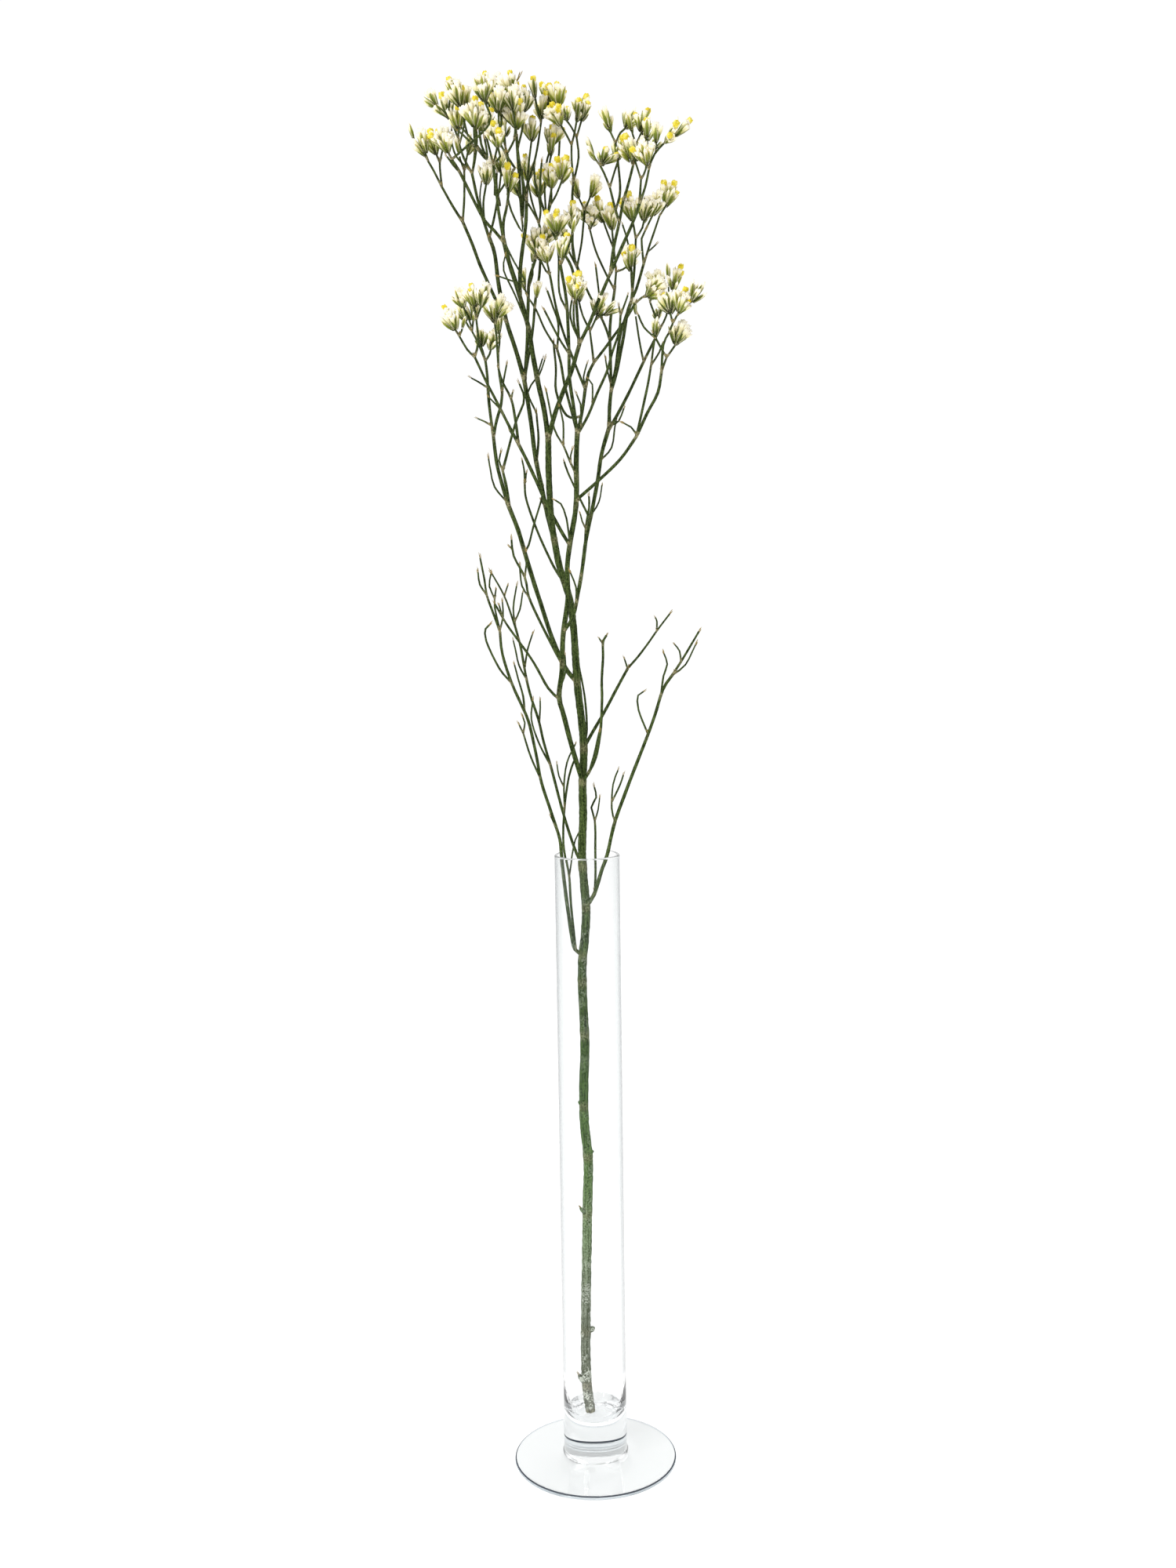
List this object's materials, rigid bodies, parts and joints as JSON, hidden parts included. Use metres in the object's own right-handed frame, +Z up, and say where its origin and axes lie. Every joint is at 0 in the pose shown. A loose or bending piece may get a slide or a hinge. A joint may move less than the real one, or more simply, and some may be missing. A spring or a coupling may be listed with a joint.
{
  "type": "dried statice in a glass vase",
  "caption": "Tall slim clear glass cylinder vase on a round disc foot, holding a single tall cut branch of dried statice with cream papery flower heads.",
  "frame": {"origin": "centre of the underside of the vase foot", "axes": "+Z up the vase axis, -Y towards the front, +X to the right seen from the front"},
  "size_m": [0.1626, 0.127, 0.8348],
  "materials": {
    "glass": "clear polished soda-lime glass",
    "statice_stem": null,
    "statice_flower": null
  },
  "bodies": {
    "root": {"vase_foot": "glass", "vase_tube": "glass", "main_stem": "statice_stem", "twig_left_low": "statice_stem", "twig_left_mid": "statice_stem", "twig_right_low": "statice_stem", "second_stem": "statice_stem", "left_arm": "statice_stem", "left_low_spray_heads_1": "statice_flower", "left_cross": "statice_stem", "left_cross_heads_1": "statice_flower", "left_cross_heads_2": "statice_flower", "back_left_stem": "statice_stem", "far_left_spray": "statice_stem", "far_left_spray_heads_1": "statice_flower", "top_left_spray_heads_1": "statice_flower", "top_left_spray_heads_2": "statice_flower", "crown_left": "statice_stem", "crown_left_outer_heads_1": "statice_flower", "crown_left_outer_heads_2": "statice_flower", "crown_left_mid_heads_1": "statice_flower", "crown_centre_heads_1": "statice_flower", "crown_centre_heads_2": "statice_flower", "crown_centre_heads_3": "statice_flower", "crown_centre_heads_4": "statice_flower", "mid_left_spray_heads_1": "statice_flower", "mid_left_spray_heads_2": "statice_flower", "mid_left_spray_heads_3": "statice_flower", "crown_right": "statice_stem", "crown_right_heads_1": "statice_flower", "crown_right_back_heads_1": "statice_flower", "top_right_left_heads_1": "statice_flower", "top_right_left_heads_2": "statice_flower", "top_right_mid_heads_1": "statice_flower", "top_right_outer_heads_1": "statice_flower", "centre_left_spray_heads_1": "statice_flower", "centre_left_spray_heads_2": "statice_flower", "centre_spray": "statice_stem", "centre_spray_heads_1": "statice_flower", "centre_spray_heads_2": "statice_flower", "centre_spray_heads_3": "statice_flower", "right_arch": "statice_stem", "right_arch_heads_1": "statice_flower", "right_arch_heads_2": "statice_flower", "right_stem": "statice_stem", "right_high_spray_heads_1": "statice_flower", "right_high_spray_heads_2": "statice_flower", "right_upper_spray_heads_1": "statice_flower", "right_outer_spray_heads_1": "statice_flower", "right_outer_spray_heads_2": "statice_flower", "right_low_spray": "statice_stem", "right_low_spray_heads_1": "statice_flower", "left_twig_stems": "statice_stem", "left_twig_stems_heads_1": "statice_flower", "left_twig_stems_heads_2": "statice_flower", "tall_stem_heads_1": "statice_flower", "tall_stem_heads_2": "statice_flower"}
  },
  "joints": []
}
